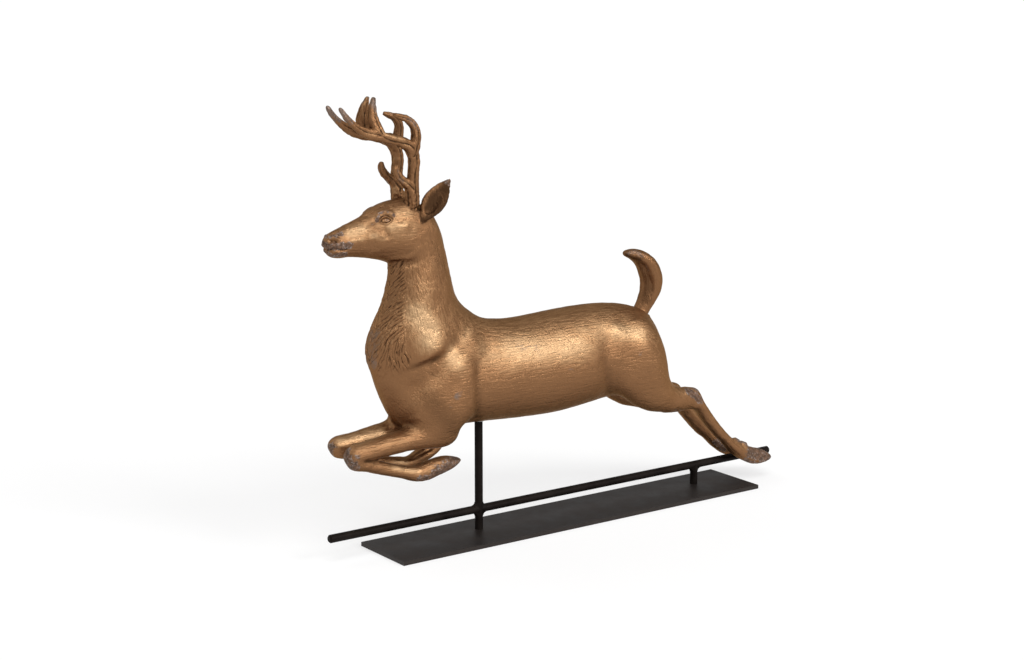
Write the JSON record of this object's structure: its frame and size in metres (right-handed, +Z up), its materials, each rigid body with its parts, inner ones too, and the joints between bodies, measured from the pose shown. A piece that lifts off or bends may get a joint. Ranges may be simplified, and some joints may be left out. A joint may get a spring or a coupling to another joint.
{
  "type": "stag statuette on stand",
  "caption": "Leaping bronze stag with branching antlers and folded forelegs, lifting off a black iron stand of flat plate, round bar and upright.",
  "frame": {"origin": "on the floor under the middle of the base plate's length, in the plane of the rods", "axes": "+Z up, -X the way the stag faces, -Y the side of the stag's left flank"},
  "size_m": [0.553, 0.0882, 0.4347],
  "materials": {
    "gilt_bronze": "worn gilt patina over brown bronze",
    "black_iron": "satin black-brown paint",
    "socket_steel": "plain steel"
  },
  "bodies": {
    "stand": {"base_plate": "black_iron", "bar": "black_iron", "front_foot": "black_iron", "rear_foot": "black_iron", "upright": "black_iron", "front_welds": "black_iron", "rear_welds": "black_iron"},
    "stag": {"post_socket": "socket_steel", "torso": "gilt_bronze", "neck": "gilt_bronze", "head": "gilt_bronze", "left_antler": "gilt_bronze", "right_antler": "gilt_bronze", "left_ear": "gilt_bronze", "right_ear": "gilt_bronze", "tail": "gilt_bronze", "left_foreleg": "gilt_bronze", "right_foreleg": "gilt_bronze", "left_hind_leg": "gilt_bronze", "right_hind_leg": "gilt_bronze", "leg_dowels": "socket_steel"}
  },
  "joints": [
    {"name": "lift_off", "type": "slide", "parent": "stand", "child": "stag", "axis": [0, 0, 1], "range_m": [0, 0.06]}
  ]
}
